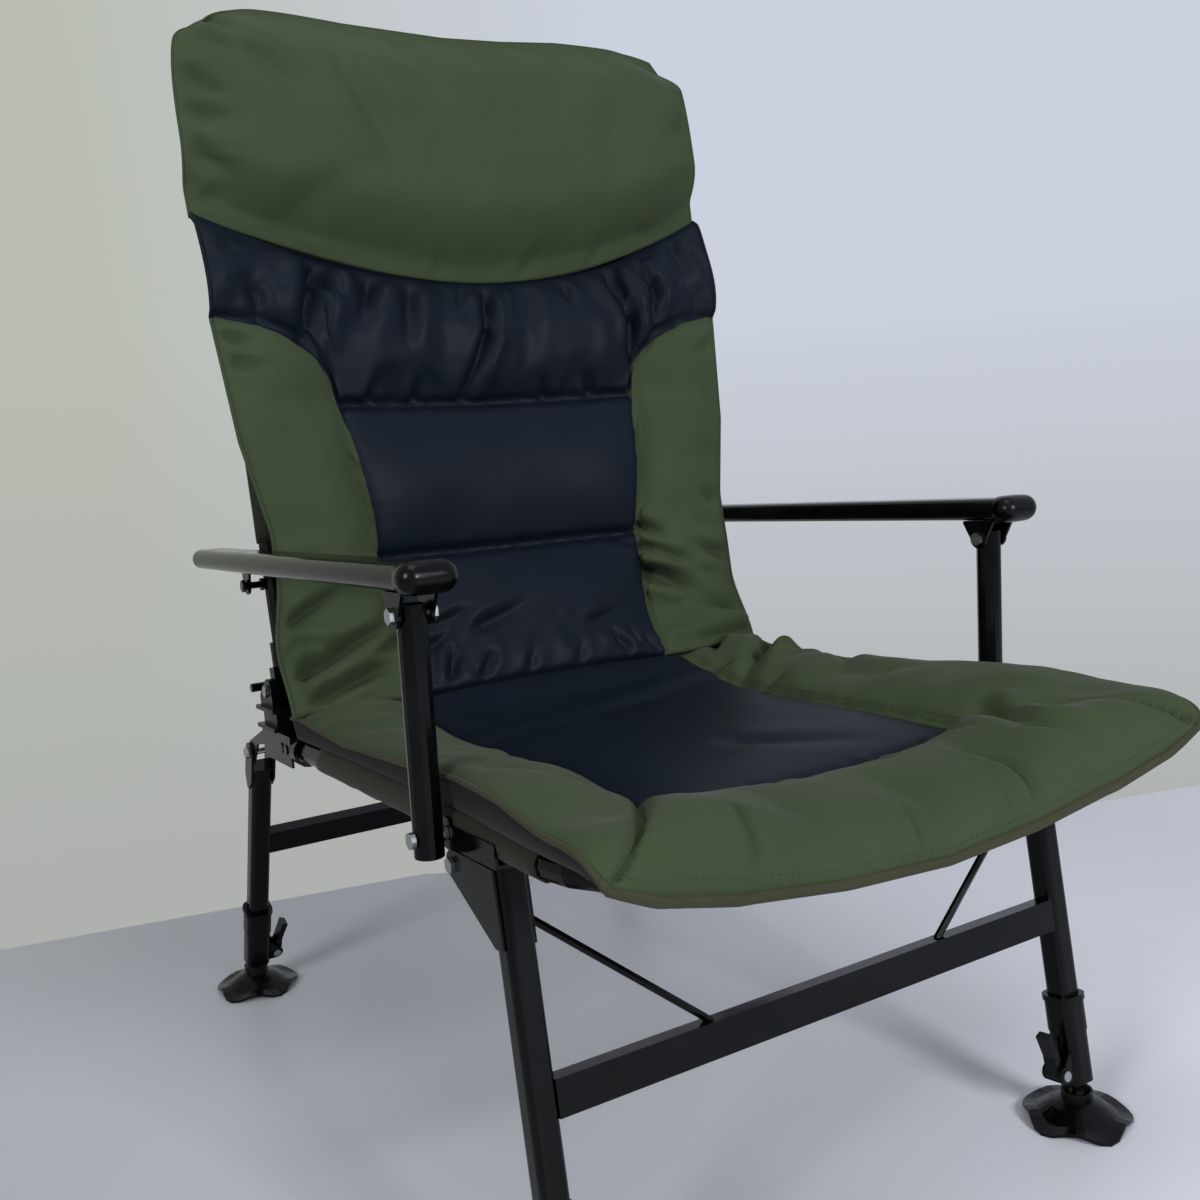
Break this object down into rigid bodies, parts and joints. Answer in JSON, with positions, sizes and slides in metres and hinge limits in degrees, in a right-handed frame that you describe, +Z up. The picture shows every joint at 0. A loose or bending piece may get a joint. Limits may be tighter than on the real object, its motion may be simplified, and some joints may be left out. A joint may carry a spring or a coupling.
{
  "type": "folding fishing chair",
  "caption": "Padded reclining carp fishing chair with fold-down arms, folding leg frames and telescopic legs on tilting mud feet.",
  "frame": {"origin": "centre of the chair's footprint box, on the floor under the mud feet", "axes": "+X to the sitter's left, +Y to the back of the chair, +Z up"},
  "size_m": [0.6244, 0.892, 1.0707],
  "materials": {
    "black_paint": "semi-gloss powder coat",
    "black_cast": "satin",
    "black_plastic": "moulded",
    "bright_zinc": "zinc plate",
    "green_cloth": "padded oxford weave with navy satin panels",
    "olive_cloth": "coated oxford weave"
  },
  "bodies": {
    "seat": {"seat_frame": "black_paint", "seat_sling": "olive_cloth", "seat_cushion": "green_cloth", "left_hinge_bracket": "black_paint", "right_hinge_bracket": "black_paint", "left_hinge_block": "black_cast", "right_hinge_block": "black_cast", "left_recline_pin": "bright_zinc", "right_recline_pin": "bright_zinc", "left_front_saddle": "black_paint", "right_front_saddle": "black_paint", "left_front_leg_bolt": "bright_zinc", "right_front_leg_bolt": "bright_zinc", "left_rear_leg_bolt": "bright_zinc", "right_rear_leg_bolt": "bright_zinc", "left_post_lower_bolt": "bright_zinc", "right_post_lower_bolt": "bright_zinc"},
    "back": {"back_frame": "black_paint", "back_sling": "olive_cloth", "back_cushion": "green_cloth", "head_pillow": "green_cloth", "left_back_knuckle": "black_cast", "right_back_knuckle": "black_cast"},
    "left_post": {"left_arm_post": "black_paint"},
    "right_post": {"right_arm_post": "black_paint"},
    "left_arm": {"left_arm": "black_paint", "left_arm_cap": "black_plastic", "left_arm_clevis": "black_paint", "left_post_upper_bolt": "bright_zinc", "left_arm_rear_bolt": "bright_zinc"},
    "right_arm": {"right_arm": "black_paint", "right_arm_cap": "black_plastic", "right_arm_clevis": "black_paint", "right_post_upper_bolt": "bright_zinc", "right_arm_rear_bolt": "bright_zinc"},
    "left_recline_lever": {"left_recline_lever": "black_plastic"},
    "right_recline_lever": {"right_recline_lever": "black_plastic"},
    "front_legs": {"front_leg_frame": "black_paint", "left_front_leg_clamp": "black_plastic", "right_front_leg_clamp": "black_plastic", "left_front_cam_pin": "bright_zinc", "right_front_cam_pin": "bright_zinc"},
    "rear_legs": {"rear_leg_frame": "black_paint", "left_rear_leg_clamp": "black_plastic", "right_rear_leg_clamp": "black_plastic", "left_rear_cam_pin": "bright_zinc", "right_rear_cam_pin": "bright_zinc"},
    "left_front_lever": {"left_front_cam_lever": "black_plastic"},
    "right_front_lever": {"right_front_cam_lever": "black_plastic"},
    "left_rear_lever": {"left_rear_cam_lever": "black_plastic"},
    "right_rear_lever": {"right_rear_cam_lever": "black_plastic"},
    "left_front_inner": {"left_front_inner_leg": "black_paint"},
    "right_front_inner": {"right_front_inner_leg": "black_paint"},
    "left_rear_inner": {"left_rear_inner_leg": "black_paint"},
    "right_rear_inner": {"right_rear_inner_leg": "black_paint"},
    "left_front_foot": {"left_front_foot": "black_plastic"},
    "right_front_foot": {"right_front_foot": "black_plastic"},
    "left_rear_foot": {"left_rear_foot": "black_plastic"},
    "right_rear_foot": {"right_rear_foot": "black_plastic"}
  },
  "joints": [
    {"name": "back_recline", "type": "hinge", "parent": "seat", "child": "back", "pos_m": [0, 0.201, 0.392], "axis": [-1, 0, 0], "range_deg": [-97, 30], "deforming": ["seat_cushion", "back_cushion", "head_pillow"]},
    {"name": "left_post_fold", "type": "hinge", "parent": "seat", "child": "left_post", "pos_m": [0.29, -0.2246, 0.35303], "axis": [-1, 0, 0], "range_deg": [-65, 20]},
    {"name": "right_post_fold", "type": "hinge", "parent": "seat", "child": "right_post", "pos_m": [-0.29, -0.2246, 0.35303], "axis": [-1, 0, 0], "range_deg": [-65, 20]},
    {"name": "left_arm_level", "type": "hinge", "parent": "left_post", "child": "left_arm", "pos_m": [0.29, -0.2246, 0.51303], "axis": [-1, 0, 0], "range_deg": [-20, 65]},
    {"name": "right_arm_level", "type": "hinge", "parent": "right_post", "child": "right_arm", "pos_m": [-0.29, -0.2246, 0.51303], "axis": [-1, 0, 0], "range_deg": [-20, 65]},
    {"name": "left_recline_lift", "type": "hinge", "parent": "seat", "child": "left_recline_lever", "pos_m": [0.262, 0.2255, 0.37992], "axis": [1, 0, 0], "range_deg": [0, 25], "stiffness_Nm_per_rad": 0.2, "springref_deg": -11.46},
    {"name": "right_recline_lift", "type": "hinge", "parent": "seat", "child": "right_recline_lever", "pos_m": [-0.262, 0.2255, 0.37992], "axis": [1, 0, 0], "range_deg": [0, 25], "stiffness_Nm_per_rad": 0.2, "springref_deg": -11.46},
    {"name": "front_leg_fold", "type": "hinge", "parent": "seat", "child": "front_legs", "pos_m": [0, -0.23008, 0.33075], "axis": [-1, 0, 0], "range_deg": [-72, 0]},
    {"name": "rear_leg_fold", "type": "hinge", "parent": "seat", "child": "rear_legs", "pos_m": [0, 0.2955, 0.3098], "axis": [1, 0, 0], "range_deg": [-96, 0]},
    {"name": "left_front_cam", "type": "hinge", "parent": "front_legs", "child": "left_front_lever", "pos_m": [0.2405, -0.33412, 0.04749], "axis": [0, -0.9885, 0.1513], "range_deg": [0, 100]},
    {"name": "right_front_cam", "type": "hinge", "parent": "front_legs", "child": "right_front_lever", "pos_m": [-0.2405, -0.33412, 0.04749], "axis": [0, 0.9885, -0.1513], "range_deg": [0, 100]},
    {"name": "left_rear_cam", "type": "hinge", "parent": "rear_legs", "child": "left_rear_lever", "pos_m": [0.2405, 0.39463, 0.04609], "axis": [0, -0.9361, -0.3518], "range_deg": [0, 100]},
    {"name": "right_rear_cam", "type": "hinge", "parent": "rear_legs", "child": "right_rear_lever", "pos_m": [-0.2405, 0.39463, 0.04609], "axis": [0, 0.9361, 0.3518], "range_deg": [0, 100]},
    {"name": "left_front_extend", "type": "slide", "parent": "front_legs", "child": "left_front_inner", "axis": [0, -0.1513, -0.9885], "range_m": [0, 0.12]},
    {"name": "right_front_extend", "type": "slide", "parent": "front_legs", "child": "right_front_inner", "axis": [0, -0.1513, -0.9885], "range_m": [0, 0.12]},
    {"name": "left_rear_extend", "type": "slide", "parent": "rear_legs", "child": "left_rear_inner", "axis": [0, 0.3518, -0.9361], "range_m": [0, 0.12]},
    {"name": "right_rear_extend", "type": "slide", "parent": "rear_legs", "child": "right_rear_inner", "axis": [0, 0.3518, -0.9361], "range_m": [0, 0.12]},
    {"name": "left_front_foot_tilt", "type": "hinge", "parent": "left_front_inner", "child": "left_front_foot", "pos_m": [0.262, -0.33818, 0.021], "axis": [1, 0, 0], "range_deg": [-12, 12]},
    {"name": "right_front_foot_tilt", "type": "hinge", "parent": "right_front_inner", "child": "right_front_foot", "pos_m": [-0.262, -0.33818, 0.021], "axis": [1, 0, 0], "range_deg": [-12, 12]},
    {"name": "left_rear_foot_tilt", "type": "hinge", "parent": "left_rear_inner", "child": "left_rear_foot", "pos_m": [0.262, 0.40406, 0.021], "axis": [1, 0, 0], "range_deg": [-12, 12]},
    {"name": "right_rear_foot_tilt", "type": "hinge", "parent": "right_rear_inner", "child": "right_rear_foot", "pos_m": [-0.262, 0.40406, 0.021], "axis": [1, 0, 0], "range_deg": [-12, 12]}
  ],
  "couplings": [
    {"joint": "left_post_fold", "follows": "back_recline", "ratio": 0.66},
    {"joint": "right_post_fold", "follows": "back_recline", "ratio": 0.66},
    {"joint": "left_arm_level", "follows": "back_recline", "ratio": -0.66},
    {"joint": "right_arm_level", "follows": "back_recline", "ratio": -0.66}
  ]
}
